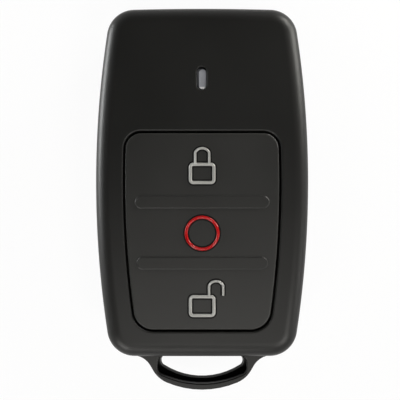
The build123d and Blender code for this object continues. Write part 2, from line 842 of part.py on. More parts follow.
# Controller chip with the dimple that marks its first pin
with BuildPart() as microcontroller:
    with BuildSketch(Plane.XY.offset(board_top)):
        with Locations((-chip_side_offset, chip_y)):
            Rectangle(controller_side, controller_side)
    extrude(amount=controller_height)
    chamfer(microcontroller.faces().sort_by(Axis.Z)[-1].edges(), chip_mark_depth)
    with BuildSketch(Plane.XY.offset(board_top + controller_height)):
        with Locations((-chip_side_offset - controller_side / 3, chip_y + controller_side / 3)):
            Circle(chip_mark_radius)
    extrude(amount=-chip_mark_depth, mode=Mode.SUBTRACT)

microcontroller.part.label = "microcontroller"
export_step(microcontroller.part, "parts/microcontroller.step")

with BuildPart() as radio_chip:
    with BuildSketch(Plane.XY.offset(board_top)):
        with Locations((chip_side_offset, chip_y)):
            Rectangle(radio_side, radio_side)
    extrude(amount=radio_height)
    chamfer(radio_chip.faces().sort_by(Axis.Z)[-1].edges(), chip_mark_depth)
    with BuildSketch(Plane.XY.offset(board_top + radio_height)):
        with Locations((chip_side_offset - radio_side / 3, chip_y + radio_side / 3)):
            Circle(chip_mark_radius)
    extrude(amount=-chip_mark_depth, mode=Mode.SUBTRACT)

radio_chip.part.label = "radio_chip"
export_step(radio_chip.part, "parts/radio_chip.step")

# Crystal: ceramic tray with a smaller metal lid
with BuildPart() as crystal:
    with BuildSketch(Plane.XY.offset(board_top)):
        with Locations((chip_side_offset, crystal_y)):
            Rectangle(crystal_width, crystal_length)
    extrude(amount=crystal_base_height)
    with BuildSketch(Plane.XY.offset(board_top + crystal_base_height)):
        with Locations((chip_side_offset, crystal_y)):
            Rectangle(crystal_width - 2 * crystal_lid_inset, crystal_length - 2 * crystal_lid_inset)
    extrude(amount=crystal_lid_height)

crystal.part.label = "crystal"
export_step(crystal.part, "parts/crystal.step")

# Small resistors and capacitors beside the controller
with BuildPart() as chip_passives:
    with BuildSketch(Plane.XY.offset(board_top)):
        with Locations((-passive_x, crystal_y)):
            with GridLocations(passive_pitch_x, passive_pitch_y, 3, 2):
                Rectangle(passive_length, passive_width)
    extrude(amount=passive_height)
    chamfer(chip_passives.faces().filter_by(Axis.Z).group_by(Axis.Z)[-1].edges(), passive_chamfer)

chip_passives.part.label = "chip_passives"
export_step(chip_passives.part, "parts/chip_passives.step")

# Aerial: flat strip that stands off the rear of the board on its two bent legs
with BuildPart() as antenna_strip:
    with BuildSketch(Plane.XZ.offset(-(case_top_y - antenna_from_end))):
        with BuildLine():
            Polyline(
                (-antenna_span / 2, board_height),
                (-antenna_span / 2, board_height - antenna_drop),
                (antenna_span / 2, board_height - antenna_drop),
                (antenna_span / 2, board_height),
            )
        trace(line_width=antenna_sheet)
    extrude(amount=antenna_width / 2, both=True)

antenna_strip.part.label = "antenna_strip"
export_step(antenna_strip.part, "parts/antenna_strip.step")

# Two screws from the rear, with cross recesses and pointed tips
with BuildPart() as case_screws:
    head_seat = screw_recess + screw_head_height
    with BuildSketch(Plane.XY.offset(screw_recess)):
        with Locations(*screw_places):
            Circle(screw_head_radius)
    extrude(amount=screw_head_height)
    with BuildSketch(Plane.XY.offset(head_seat)):
        with Locations(*screw_places):
            Circle(screw_radius)
    extrude(amount=screw_length)
    chamfer(case_screws.faces().group_by(Axis.Z)[-1].edges(), screw_tip)
    fillet(case_screws.faces().group_by(Axis.Z)[0].edges(), screw_recess / 2)
    with BuildSketch(Plane.XY.offset(screw_recess)):
        with Locations(*screw_places):
            Rectangle(screw_cross_length, screw_cross_width)
            Rectangle(screw_cross_width, screw_cross_length)
    extrude(amount=screw_cross_depth, mode=Mode.SUBTRACT)

case_screws.part.label = "case_screws"
export_step(case_screws.part, "parts/case_screws.step")
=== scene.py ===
from math import atan2, copysign, cos, pi, radians, sin, sqrt, tan, tau

import bmesh
import bpy
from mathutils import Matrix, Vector
from mathutils.geometry import tessellate_polygon


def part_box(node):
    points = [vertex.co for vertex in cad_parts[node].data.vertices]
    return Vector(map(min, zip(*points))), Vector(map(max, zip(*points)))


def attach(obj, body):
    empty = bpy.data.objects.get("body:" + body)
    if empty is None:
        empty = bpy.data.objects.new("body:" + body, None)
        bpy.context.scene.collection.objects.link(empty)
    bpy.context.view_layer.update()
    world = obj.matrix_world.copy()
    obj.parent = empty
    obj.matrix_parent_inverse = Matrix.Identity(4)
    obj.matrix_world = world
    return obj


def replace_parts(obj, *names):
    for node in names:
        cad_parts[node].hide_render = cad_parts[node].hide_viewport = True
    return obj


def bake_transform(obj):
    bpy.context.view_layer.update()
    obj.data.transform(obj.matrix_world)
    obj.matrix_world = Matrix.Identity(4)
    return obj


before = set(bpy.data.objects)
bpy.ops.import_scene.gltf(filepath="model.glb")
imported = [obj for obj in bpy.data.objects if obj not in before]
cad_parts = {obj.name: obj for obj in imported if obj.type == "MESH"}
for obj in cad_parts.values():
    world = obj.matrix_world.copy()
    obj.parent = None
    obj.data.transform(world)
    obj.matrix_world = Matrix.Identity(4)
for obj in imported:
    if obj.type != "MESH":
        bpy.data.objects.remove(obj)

# Dressed model of the alarm key fob. Lengths are in millimetres, in the frame of the packed
# model: +Z points out of the front face and +Y runs to the lamp end. Meshes are put into
# metres as they are finished.
MILLIMETRE = 0.001
scene = bpy.context.scene
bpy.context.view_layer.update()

# Case
case_length = 61.7
case_width = 37.8
case_height = 13.0
side_bow = 2.66
end_bow = 0.3
case_corner_radius = 4.95
loop_end_bow = 0.05
loop_end_fullness = 0.1
parting_height = 5.0
wall = 1.6
front_edge_width = 2.8
front_edge_drop = 2.3
rear_edge_radius = 2.2
parting_chamfer = 0.12
lip_inset = 0.85
lip_height = 1.0
lip_gap = 0.05

# Key-ring loop
loop_reach = 6.9
loop_outer_radius = 16.5
loop_side_angle = radians(60)
loop_side_point = (9.3, 4.15)
loop_shoulder_radius = 5.2
loop_root_radius = 3.8
loop_foot_width = 26.4
loop_foot_height = 0.62
loop_foot_corner = 0.4
loop_root_depth = 1.2
loop_front = 8.5
loop_rear = 4.0
loop_edge_radius = 0.15
slot_land = 1.12
slot_width = 16.16
slot_corner_radius = 1.25
slot_arc_radius = 17.4
slot_draft = 0.65
slot_edge_radius = 0.22
ring_hole_land = 1.4
ring_hole_width = 15.2
ring_hole_corner_radius = 1.0
ring_hole_top_radius = 0.8
ring_hole_arc_radius = 13.2
ring_hole_top_step = 1.05
ring_hole_draft = 0.25
ring_hole_edge_radius = 0.15

# Keypad
pad_from_bottom = 5.0
pad_side_inset = 5.4
pad_top_corner_radius = 2.75
pad_bottom_corner_radius = 3.5
pad_gap = 0.35
pad_edge_radius = 0.3
pad_thickness = 2.0
bar_from_pad_bottom = 11.68
bar_pitch = 10.65
bar_from_pad_top = 12.07
bar_width = 2.06
bar_rise = 0.25
bar_edge_radius = 0.15
bar_foot_radius = 0.08
bar_root_depth = 0.02
bar_foot_rise = 0.005
upper_bar_length = 23.4
lower_bar_length = 22.85
beam_half = 1.3
foot_spacing = 16.0
foot_radius = 1.0
bend_length = 0.8
bend_rows = 8
skirt_width = 1.2
ledge_width = 1.0
ledge_top = 10.3
ledge_height = 0.5
nub_radius = 1.5
nub_bottom = 9.4

# Symbols
symbol_rise = 0.24
symbol_half_height = 0.3
padlock_width = 4.7
padlock_height = 3.78
padlock_line = 0.60
padlock_corner_radius = 0.8
shackle_width = 2.92
shackle_height = 2.75
shackle_line = 0.46
shackle_arch_radius = 1.6
shackle_corner_radius = 0.55
open_shackle_gap = 0.1
open_padlock_height = 3.88
open_shackle_height = 2.65
open_shackle_shift = 2.43
lock_from_pad_top = 7.08
ring_from_bar = 5.44
unlock_from_bar = 7.52
ring_diameter = 6.15
ring_line = 0.57
# Thin black raised band round each sign: painted shade at the sign's foot, where it meets the pad
shade_band_width = 0.26
shade_band_rise = 0.04
shade_band_half_height = 0.05

# Lamp
lamp_window_width = 1.8
lamp_window_length = 4.05
lamp_gap = 0.25
lamp_drop = 0.32
lamp_lip_radius = 0.15
lens_edge_radius = 0.12
# Length and fade of the painted highlight at the lens's end towards the keys
lens_highlight_length = 0.5
lens_highlight_fade = 0.15
lens_centre = (0.04, 21.45)
window_centre = (-0.08, 21.57)
flange_reach = 0.5
flange_height = 0.6

# Switches
dome_sheet = 0.06
dome_rows = 12
dome_steps = 10
dome_give = 0.7
plunger_stem_radius = 1.1
plunger_tip_radius = 0.3
plunger_tip_height = 0.1
plunger_flange = 0.1
plunger_edge = 0.02
plunger_crown = 0.1

# Inner walls and posts
board_bottom = 6.4
board_top = 7.4
post_radius = 1.5
post_edge = 0.1
post_side_inset = 3.6
upper_post_from_pad = 3.05
lower_post_from_end = 9.0
peg_radius = 1.2
pin_radius = 0.6
pin_gap = 0.1
pin_top = 8.0
boss_radius = 2.2
hook_spacing = 14.0
hook_width = 3.0
hook_thickness = 1.1
hook_nose = 0.7
hook_nose_height = 0.8
hook_top = 10.0
collar_gap = 0.1
collar_wall = 0.8
collar_height = 1.8
joint_overlap = 0.2

# Screws; the head's rings are shares of its radius, each with its depth
screw_inset = 4.5
screw_radius = 1.0
screw_length = 7.0
screw_recess = 0.5
screw_clearance = 0.15
well_chamfer = 0.15
screw_head_radius = 1.75
screw_head_height = 1.3
screw_head = ((0.66, 0.0), (0.86, 0.06), (0.96, 0.20), (1.0, 0.42),
              (1.0, screw_head_height - 0.06), (0.97, screw_head_height))
screw_sides = 48
screw_plain = 0.5
screw_point = 1.2
shank_step = 0.001
cross_reach = 1.0
cross_half_width = 0.24
cross_depth = 0.6
cross_floor = 0.75
cross_edge = 0.03
thread_pitch = 0.8
thread_depth = 0.18
thread_rows = 8
thread_narrowness = 5.2

# Steps along round stretches, the flat kept beside a round edge, and the gap between equal points
arc_step = radians(6)
edge_step = 1.6
support = 0.06
tolerance = 1e-5

# How near a join no edge is made paler, and by how much the tone of plastic drifts
join_clearance = 0.35
tone_drift = 0.125


def chord_radius(half, bow):
    """Radius of an arc, from half its chord and its height over the chord."""
    return (half**2 + bow**2) / (2 * bow)


# Places worked out from the sizes above
centre_y = loop_reach / 2
top_y = centre_y + case_length / 2
bottom_y = centre_y - case_length / 2
loop_bottom_y = bottom_y - loop_reach
loop_centre_y = loop_bottom_y + loop_outer_radius
inner_top = case_height - wall
side_radius = chord_radius(case_length / 2 - end_bow, side_bow)
corner_x = case_width / 2 - side_bow
end_radius = chord_radius(corner_x, end_bow)
pad_bottom_y = bottom_y + pad_from_bottom
lower_bar_y = pad_bottom_y + bar_from_pad_bottom
upper_bar_y = lower_bar_y + bar_pitch
middle_y = (upper_bar_y + lower_bar_y) / 2
pad_top_y = upper_bar_y + bar_from_pad_top
pad_top = case_height
pad_bottom = pad_top - pad_thickness
lens_low, lens_high = [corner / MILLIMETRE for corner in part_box("light_pipe")]
lamp_y = (lens_low.y + lens_high.y) / 2
screw_y = top_y - end_bow - screw_inset
loop_end_y = bottom_y - loop_end_fullness


def side_x(y, inset):
    """Half width of the case at y, measured to a line inset from its side wall."""
    return case_width / 2 - side_radius + sqrt((side_radius - inset) ** 2 - (y - centre_y) ** 2)


screw_x = side_x(screw_y, screw_inset)
screw_places = [(-screw_x, screw_y), (screw_x, screw_y)]
post_rows = (pad_top_y + pad_gap + skirt_width + upper_post_from_pad, bottom_y + lower_post_from_end)
post_places = [(side * side_x(y, wall + post_side_inset), y) for y in post_rows for side in (-1, 1)]
hook_y = bottom_y + wall + end_bow


def on_circle(centre, radius, angles):
    return [centre + Vector((cos(t), sin(t))) * radius for t in angles]


def whole_turn(count):
    return [tau * i / count for i in range(count)]


def quarter_turn(steps):
    return [pi / 2 * i / steps for i in range(steps + 1)]


def swing(start, end):
    """Angle of one direction, and the turn from it to another."""
    return atan2(start.y, start.x), atan2(start.x * end.y - start.y * end.x, start.dot(end))


class Round:
    """Round edge of an outline. The outline lies inside the circle, or outside it where the
    radius is given below zero."""

    def __init__(self, centre, radius):
        self.centre = Vector(centre)
        self.radius = abs(radius)
        self.keep = copysign(1, radius)

    def depth(self, point):
        return self.keep * (self.radius - (point - self.centre).length)

    def inward(self, point):
        return (self.centre - point).normalized() * self.keep

    def stretch(self, start, end):
        first, turn = swing(start - self.centre, end - self.centre)
        count = max(2, round(abs(turn) * self.radius / edge_step), round(abs(turn) / arc_step))
        return on_circle(self.centre, self.radius, [first + turn * i / count for i in range(count)])


class Straight:
    """Straight edge of an outline, through a point, with its inward direction."""

    def __init__(self, point, inward):
        self.point = Vector(point)
        self.normal = Vector(inward).normalized()

    def depth(self, point):
        return (point - self.point).dot(self.normal)

    def inward(self, point):
        return self.normal

    def stretch(self, start, end):
        count = max(2, round((end - start).length / edge_step))
        return [start.lerp(end, i / count) for i in range(count)]


def corner_centre(first, second, radius, near):
    """Centre of the round corner between two edges, found from a place near it."""
    point = Vector(near)
    for _ in range(20):
        n, m = first.inward(point), second.inward(point)
        a, b = radius - first.depth(point), radius - second.depth(point)
        cross = n.x * m.y - n.y * m.x
        point += Vector(((a * m.y - b * n.y) / cross, (b * n.x - a * m.x) / cross))
    return point


def mirrored(corner):
    """The same corner on the other side of the middle line."""
    radius, (x, y) = corner
    return radius, (-x, y)


def closed_outline(edges, corners):
    """Points round an outline, each with its inward normal. Each corner, between an edge and the
    next, is its radius, below zero where it is hollow, and a place near its centre."""
    following = edges[1:] + edges[:1]
    centres = [corner_centre(edge, after, *corner) for edge, after, corner in zip(edges, following, corners)]
    samples = []
    for i, (edge, after) in enumerate(zip(edges, following)):
        start = centres[i - 1] - edge.inward(centres[i - 1]) * corners[i - 1][0]
        turn = Round(centres[i], corners[i][0])
        end = turn.centre - edge.inward(turn.centre) * corners[i][0]
        foot = turn.centre - after.inward(turn.centre) * corners[i][0]
        if (end - start).length > support / 10:
            samples += [(p, edge.inward(p)) for p in edge.stretch(start, end)]
        samples += [(p, turn.inward(p)) for p in turn.stretch(end, foot)]
    return samples


def circle_outline(centre, radius, count=48):
    edge = Round(centre, radius)
    return [(p, edge.inward(p)) for p in on_circle(edge.centre, radius, whole_turn(count))]


def rectangle_outline(centre, width, height, radius):
    """Rectangle with round corners; the largest radius gives it round ends."""
    x, y = centre
    edges = [Straight((x + width / 2, y), (-1, 0)), Straight((x, y + height / 2), (0, -1)),
             Straight((x - width / 2, y), (1, 0)), Straight((x, y - height / 2), (0, 1))]
    far_x, far_y = width / 2 - radius, height / 2 - radius
    corners = [(radius, (x + i * far_x, y + j * far_y)) for i, j in ((1, 1), (-1, 1), (-1, -1), (1, -1))]
    return closed_outline(edges, corners)


def slot_shape(centre, width, height):
    return rectangle_outline(centre, width, height, min(width, height) / 2)


def side_walls(inset):
    """Lines inset from the right and left side of the case."""
    x = case_width / 2 - side_radius
    return Round((x, centre_y), side_radius - inset), Round((-x, centre_y), side_radius - inset)


def case_outline():
    """The case without its loop. The end at the loop is straighter and fuller than the lamp end."""
    right, left = side_walls(0)
    top = Round((0, top_y - end_radius), end_radius)
    loop_end_radius = chord_radius(corner_x, loop_end_bow)
    bottom = Round((0, loop_end_y + loop_end_radius), loop_end_radius)
    radius = case_corner_radius
    high, low = [(radius, (corner_x - radius, y)) for y in (top_y - radius, bottom_y + radius)]
    return closed_outline([right, top, left, bottom], [high, mirrored(high), mirrored(low), low])


def pad_outline():
    right, left = side_walls(pad_side_inset)
    top, bottom = Straight((0, pad_top_y), (0, -1)), Straight((0, pad_bottom_y), (0, 1))
    high_x = side_x(pad_top_y, pad_side_inset) - pad_top_corner_radius
    low_x = side_x(pad_bottom_y, pad_side_inset) - pad_bottom_corner_radius
    high = (pad_top_corner_radius, (high_x, pad_top_y - pad_top_corner_radius))
    low = (pad_bottom_corner_radius, (low_x, pad_bottom_y + pad_bottom_corner_radius))
    return closed_outline([right, top, left, bottom], [high, mirrored(high), mirrored(low), low])


def loop_outline():
    """Outer edge of the key-ring loop, with its foot along the case's end. The foot's upper edge
    is closed inside the end wall, which covers it."""
    lean = Vector((cos(loop_side_angle), sin(loop_side_angle)))
    x, y = loop_side_point[0], loop_bottom_y + loop_side_point[1]
    foot_x, foot_y = loop_foot_width / 2, bottom_y - loop_foot_height
    root_y = bottom_y + loop_root_depth
    foot = Straight((0, foot_y), (0, 1))
    edges = [
        Round((0, loop_centre_y), loop_outer_radius), Straight((x, y), (-lean.y, lean.x)), foot,
        Straight((foot_x, 0), (-1, 0)), Straight((0, root_y), (0, -1)), Straight((-foot_x, 0), (1, 0)),
        foot, Straight((-x, y), (lean.y, lean.x)),
    ]
    shoulder, root, corner = loop_shoulder_radius, loop_root_radius, loop_foot_corner
    right = [
        (shoulder, (x - shoulder * lean.y, y + shoulder * lean.x)), (-root, (x + root, foot_y - root)),
        (corner, (foot_x - corner, foot_y + corner)), (corner, (foot_x - corner, root_y - corner)),
    ]
    return closed_outline(edges, right + [mirrored(c) for c in reversed(right)])


def bow_outline(half, low_y, arc_radius, high_y, low_radius, high_radius):
    """A half-moon hole for a key ring: bowed below, straight above, round at its four corners."""
    arc = Round((0, low_y + arc_radius), arc_radius)
    right, left = Straight((half, 0), (-1, 0)), Straight((-half, 0), (1, 0))
    near_low = arc.centre.y - sqrt(arc_radius**2 - half**2) + low_radius
    low = (low_radius, (half - low_radius, near_low))
    high = (high_radius, (half - high_radius, high_y - high_radius))
    edges = [arc, right, Straight((0, high_y), (0, -1)), left]
    return closed_outline(edges, [low, high, mirrored(high), mirrored(low)])


def section(*stops):
    """Section through a rim as (inset, height) points. A stop is (inset, height), with a third
    number where its corner is rounded to that radius; short flats run on past each round."""
    points = []
    for i, stop in enumerate(stops):
        here = Vector(stop[:2])
        if len(stop) == 2:
            points.append(here)
            continue
        before = (Vector(stops[i - 1][:2]) - here).normalized()
        after = (Vector(stops[i + 1][:2]) - here).normalized()
        radius = stop[2]
        half = before.angle(after) / 2
        reach = radius / tan(half)
        flat = reach + min(support, reach)
        centre = here + (before + after).normalized() * radius / sin(half)
        first, turn = swing(here + before * reach - centre, here + after * reach - centre)
        count = max(4, round(abs(turn) / (arc_step / 2)))
        angles = [first + turn * j / count for j in range(count + 1)]
        points += [here + before * flat, *on_circle(centre, radius, angles), here + after * flat]
    return points


def round_top(below, inset, high, radius, way=1):
    """Section that rises from the stops below and turns over a round edge; way is -1 for a hole."""
    return section(*below, (inset, high, radius), (inset + way * 3 * radius, high))[:-1]


def strip(mesh, low, high):
    """A band of faces between two closed loops of points."""
    for i in range(len(low)):
        j = (i + 1) % len(low)
        mesh.faces.new((low[i], low[j], high[j], high[i]))


def rings(mesh, outline, profile):
    """A band round an outline for each step of the section; gives its loops of points."""
    loops = [[mesh.verts.new((*(p + n * inset), height)) for p, n in outline] for inset, height in profile]
    for low, high in zip(loops, loops[1:]):
        strip(mesh, low, high)
    return loops


def fill(mesh, *loops):
    """Closes a flat face: the first loop is its edge and the others are holes."""
    flat = [v for loop in loops for v in loop]
    for triangle in tessellate_polygon([[v.co for v in loop] for loop in loops]):
        a, b, c = (flat[i] for i in triangle)
        if len({a, b, c}) == 3:
            mesh.faces.new((a, b, c))


def cap(mesh, *walls):
    """Closes both ends of some walls: the first is the outer edge and the others are holes."""
    for end in (0, -1):
        fill(mesh, *(wall[end] for wall in walls))


def solid(mesh, outline, profile):
    """Closed solid: bands round an outline, with its first and last loop filled."""
    cap(mesh, rings(mesh, outline, profile))


def hoop(mesh, outline, profile):
    """Closed hoop: bands round an outline, whose last loop is joined to the first."""
    loops = rings(mesh, outline, profile)
    strip(mesh, loops[-1], loops[0])


def stud(mesh, centre, radius, low, high):
    """Upright closed post with softened ends."""
    solid(mesh, circle_outline(centre, radius, 32), [
        (post_edge, low), (0, low + post_edge), (0, high - post_edge), (post_edge, high)])


def tube(mesh, outline, thickness, low, high):
    """Upright wall of one thickness that follows an outline all round."""
    hoop(mesh, outline, [(0, low), (0, high), (thickness, high), (thickness, low)])


def block(mesh, low, high):
    """Plain box for ribs and hooks inside the case."""
    made = bmesh.ops.create_cube(mesh, size=1)["verts"]
    for v in made:
        v.co = Vector([low[i] if v.co[i] < 0 else high[i] for i in range(3)])


def add_object(name, data):
    made = bpy.data.objects.new(name, data)
    scene.collection.objects.link(made)
    return made


def piece(name, mesh, material, crease=35):
    """Turns a finished mesh into an object in metres, smooth but for its sharper creases."""
    bmesh.ops.recalc_face_normals(mesh, faces=mesh.faces)
    for v in mesh.verts:
        v.co *= MILLIMETRE
    data = bpy.data.meshes.new(name)
    mesh.to_mesh(data)
    mesh.free()
    data.shade_smooth()
    data.set_sharp_from_angle(angle=radians(crease))
    data.materials.append(material)
    return add_object(name, data)


# Shader sums written as sums
class Wire:
    """A node's output, which can be added, multiplied and so on where it is a number."""

    def __init__(self, nodes, socket):
        self.nodes = nodes
        self.socket = socket

    def maths(self, operation, *values):
        return self.nodes.node("ShaderNodeMath", dict(enumerate(values)), operation=operation)

    def __add__(self, other):
        return self.maths("ADD", self, other)

    def __sub__(self, other):
        return self.maths("SUBTRACT", self, other)

    def __rsub__(self, other):
        return self.maths("SUBTRACT", other, self)

    def __mul__(self, other):
        return self.maths("MULTIPLY", self, other)

    def __gt__(self, other):
        return self.maths("GREATER_THAN", self, other)

    __radd__ = __add__

    def clamped(self):
        return self.nodes.node("ShaderNodeClamp", {"Value": self})

    def mirrored(self):
        return self.maths("ABSOLUTE", self)


class NodeTree:
    """A node tree and the means to add nodes to it."""

    def __init__(self, tree):
        self.tree = tree

    def node(self, kind, sockets, output=0, **settings):
        """Adds a node and fills its sockets with values or wires; gives one of its outputs."""
        made = self.tree.nodes.new(kind)
        for key, value in settings.items():
            setattr(made, key, value)
        for key, value in sockets.items():
            self.plug(self.find(made.inputs, key), value)
        return Wire(self, self.find(made.outputs, output))

    def find(self, sockets, key):
        if isinstance(key, int):
            return sockets[key]
        for socket in sockets:
            if key in (socket.identifier, socket.name) and socket.enabled:
                return socket
        raise KeyError(key)

    def plug(self, socket, value):
        if isinstance(value, Wire):
            self.tree.links.new(value.socket, socket)
        elif isinstance(value, tuple) and len(value) == 3 and socket.type == "RGBA":
            socket.default_value = (*value, 1)
        else:
            socket.default_value = value


class Finish(NodeTree):
    """A material with its shader and its place on the object."""

    def __init__(self, name):
        self.material = bpy.data.materials.new(name)
        self.material.use_nodes = True
        super().__init__(self.material.node_tree)
        self.shader = self.tree.nodes["Principled BSDF"]
        self.place = self.node("ShaderNodeTexCoord", {}, "Object")

    def axis(self, letter, vector=None):
        """One coordinate of the place on the object, or of another vector."""
        return self.node("ShaderNodeSeparateXYZ", {"Vector": vector or self.place}, letter)

    def noise(self, scale, detail, roughness=0.5, place=None):
        return self.node("ShaderNodeTexNoise", {
            "Vector": place or self.place, "Scale": scale, "Detail": detail, "Roughness": roughness})

    def ramp(self, value, *stops):
        made = self.node("ShaderNodeValToRGB", {"Fac": value})
        for element, (at, colour) in zip(made.socket.node.color_ramp.elements, stops):
            element.position = at
            element.color = (*colour, 1)
        return made

    def mix(self, share, first, second):
        sockets = {"Factor_Float": share, "A_Color": first, "B_Color": second}
        return self.node("ShaderNodeMix", sockets, "Result_Color", data_type="RGBA")

    def done(self, colour, roughness, height, strength, distance):
        """Plugs colour, roughness and bump into the shader; gives the material."""
        normal = self.node("ShaderNodeBump", {
            "Height": height, "Strength": strength, "Distance": distance * MILLIMETRE})
        for name, value in (("Base Color", colour), ("Roughness", roughness), ("Normal", normal)):
            self.plug(self.shader.inputs[name], value)
        return self.material


def edge_wear_and_highlight(finish, radius):
    """How near a point is to an edge, from 0 on a flat face to 1 on the edge. It marks worn edges, and on the
    pad and the lens a painted edge highlight.
    """
    soft = finish.node("ShaderNodeBevel", {"Radius": radius * MILLIMETRE}, samples=4)
    hard = finish.node("ShaderNodeNewGeometry", {}, "Normal")
    facing = finish.node("ShaderNodeVectorMath", {0: soft, 1: hard}, "Value", operation="DOT_PRODUCT")
    return ((1 - facing) * 4).clamped()


def tinted(colour, share):
    """A colour made darker or lighter."""
    return tuple(min(1.0, c * share) for c in colour)


def moulded(name, colour, pale, roughness, grain, depth, specular=0.5, pale_edge_reach=0.15, joins=()):
    """Moulded plastic or rubber: spark-eroded grain, slow drift of tone, paler edges reaching in as far as
    given. The paler edges are wear, and on the pad they are also a painted highlight of its lit rim. No edge
    is made paler along the joins, the lines across the part where one piece runs on into the next."""
    finish = Finish(name)
    cloud = finish.noise(60.0, 2.0)
    fine = finish.noise(grain, 2.0, 0.6)
    # Pale edges: wear, and on the pad also a painted highlight
    edge = edge_wear_and_highlight(finish, pale_edge_reach)
    for y in joins:
        edge = edge * ((finish.axis("Y") - y * MILLIMETRE).mirrored() > join_clearance * MILLIMETRE)
    tone = finish.ramp(cloud, (0.3, tinted(colour, 1 - tone_drift)), (0.7, tinted(colour, 1 + tone_drift)))
    finish.shader.inputs["Specular IOR Level"].default_value = specular
    rough = roughness + (fine - 0.5) * 0.12 + (cloud - 0.5) * 0.08 - edge * 0.06
    return finish.done(finish.mix(edge * 0.5, tone, pale), rough, fine, 0.35, depth)


def metal(name, colour, dark, roughness, brush=(1.0, 1.0, 1.0)):
    """Plated or brushed metal: fine lines along one way, soft stains, brighter edges."""
    finish = Finish(name)
    lines = finish.node("ShaderNodeMapping", {"Vector": finish.place, "Scale": brush})
    scratch = finish.noise(900.0, 2.0, 0.6, lines)
    stain = finish.noise(220.0, 3.0)
    edge = edge_wear_and_highlight(finish, 0.08)
    tone = finish.ramp(stain * 0.6 + scratch * 0.4, (0.3, dark), (0.7, colour))
    finish.shader.inputs["Metallic"].default_value = 1.0
    rough = roughness + (scratch - 0.5) * 0.25 + (stain - 0.5) * 0.1
    return finish.done(finish.mix(edge * 0.4, tone, tinted(colour, 1.25)), rough, scratch, 0.25, 0.01)


def lens_finish(name):
    """Milky clear rod: cloudy body, polished face, edges painted paler as a highlight, and a painted
    highlight in its end towards the keys.
    """
    finish = Finish(name)
    cloud = finish.noise(700.0, 3.0)
    # Paler edges here are a painted highlight
    edge = edge_wear_and_highlight(finish, 0.12)
    # Painted highlight: the end towards the keys made near white, fading over a short length
    low_end = (lens_centre[1] - lamp_window_length / 2 + lamp_gap + lens_highlight_length) * MILLIMETRE
    painted_highlight = ((low_end - finish.axis("Y")) * (1 / (lens_highlight_fade * MILLIMETRE))).clamped()
    tone = finish.ramp(cloud, (0.35, (0.29, 0.30, 0.335)), (0.65, (0.34, 0.35, 0.385)))
    tone = finish.mix(painted_highlight, tone, (0.85, 0.85, 0.87))
    tone = finish.mix(edge * 0.6, tone, (0.60, 0.60, 0.62))
    return finish.done(tone, 0.24 + (cloud - 0.5) * 0.1, cloud, 0.2, 0.01)


def board_finish(name):
    """Plain solder mask on the board's faces, bare laminate at its cut edges."""
    finish = Finish(name)
    normal = finish.node("ShaderNodeNewGeometry", {}, "Normal")
    flat = finish.axis("Z", normal).mirrored() > 0.7
    weave = finish.noise(1400.0, 1.0)
    bare = finish.ramp(weave, (0.35, (0.26, 0.22, 0.11)), (0.65, (0.40, 0.35, 0.19)))
    tone = finish.mix(flat, bare, (0.012, 0.095, 0.040))
    return finish.done(tone, 0.62 - flat * 0.3 + (weave - 0.5) * 0.1, weave * 0.2, 0.5, 0.03)


def ceramic_finish(name, colour, worn):
    """Fired chip, paler at its edges."""
    finish = Finish(name)
    speck = finish.noise(2600.0, 2.0)
    edge = edge_wear_and_highlight(finish, 0.06)
    tone = finish.ramp(speck, (0.35, tinted(colour, 0.8)), (0.65, colour))
    return finish.done(finish.mix(edge * 0.7, tone, worn), 0.5 + (speck - 0.5) * 0.3, speck, 0.3, 0.01)


case_plastic = moulded("case_plastic", (0.0092, 0.0092, 0.0086), (0.018, 0.018, 0.017),
                       0.40, 5200.0, 0.012, specular=0.35)
# The pad's pale edges are a painted highlight of the lit line along its rounded rim, as well as wear
pad_rubber = moulded("pad_rubber", (0.0215, 0.0215, 0.0205), (0.200, 0.200, 0.190),
                     0.42, 4200.0, 0.010, specular=0.35, pale_edge_reach=0.3,
                     joins=(lower_bar_y, middle_y, upper_bar_y))
bar_rubber = moulded("bar_rubber", (0.0203, 0.0203, 0.0193), (0.030, 0.030, 0.029),
                     0.42, 4200.0, 0.010, specular=0.35)
symbol_grey = moulded("symbol_grey", (0.37, 0.37, 0.355), (0.55, 0.55, 0.53), 0.20, 2600.0, 0.006,
                      specular=0.9)
ring_red = moulded("ring_red", (0.45, 0.0030, 0.0040), (0.56, 0.016, 0.018), 0.15, 2600.0, 0.004)
# Near-black for the band round each sign, which is painted shade at the sign's foot
border_black = moulded("border_black", (0.0030, 0.0030, 0.0030), (0.006, 0.006, 0.006),
                       0.60, 2600.0, 0.006, specular=0.15)
lamp_lens = lens_finish("lamp_lens")

fixed_finishes = {
    "status_led": moulded("lamp_package", (0.72, 0.70, 0.60), (0.9, 0.88, 0.8), 0.3, 1800.0, 0.01),
    "circuit_board": board_finish("board_laminate"),
    "coin_battery": metal("cell_steel", (0.62, 0.61, 0.58), (0.40, 0.39, 0.37), 0.26, (1, 14, 1)),
    "battery_holder": moulded("holder_plastic", (0.02, 0.02, 0.022), (0.05, 0.05, 0.05), 0.5, 2400.0, 0.02),
    "battery_clip": metal("contact_metal", (0.78, 0.70, 0.50), (0.52, 0.45, 0.28), 0.3, (12, 1, 1)),
    "negative_contact": metal("contact_leaf", (0.80, 0.72, 0.52), (0.55, 0.47, 0.30), 0.28, (1, 12, 1)),
    "microcontroller": moulded("chip_epoxy", (0.016, 0.016, 0.018), (0.05, 0.05, 0.05), 0.6, 3200.0, 0.01),
    "radio_chip": moulded("radio_epoxy", (0.020, 0.020, 0.021), (0.05, 0.05, 0.05), 0.56, 3000.0, 0.01),
    "crystal": metal("crystal_can", (0.74, 0.72, 0.64), (0.50, 0.48, 0.40), 0.25, (10, 1, 1)),
    "chip_passives": ceramic_finish("passive_ceramic", (0.20, 0.135, 0.080), (0.72, 0.72, 0.70)),
    "antenna_strip": metal("antenna_metal", (0.82, 0.76, 0.60), (0.56, 0.50, 0.36), 0.3, (1, 12, 1)),
}
